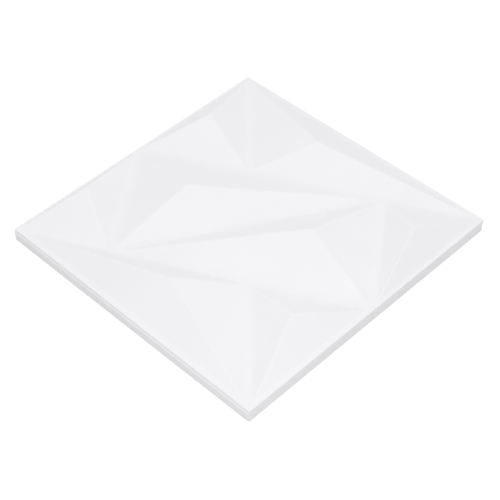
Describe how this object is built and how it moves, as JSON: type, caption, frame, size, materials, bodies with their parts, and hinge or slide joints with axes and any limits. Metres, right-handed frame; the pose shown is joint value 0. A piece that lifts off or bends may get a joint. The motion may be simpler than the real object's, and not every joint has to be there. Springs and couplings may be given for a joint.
{
  "type": "3d wall panel tile",
  "caption": "Square white wall tile of thin formed plastic with a faceted pyramid relief, a narrow flat rim, a short lapped skirt and a hollow back.",
  "frame": {"origin": "centre of the overall outline, on the plane that the skirt's rim rests on", "axes": "+Z out of the patterned face, X along the sides without a lap, Y from the side with the ledge to the side with the overhang"},
  "size_m": [0.3, 0.301, 0.0351],
  "materials": {
    "white_pvc": "satin"
  },
  "bodies": {
    "root": {"panel": "white_pvc"}
  },
  "joints": []
}
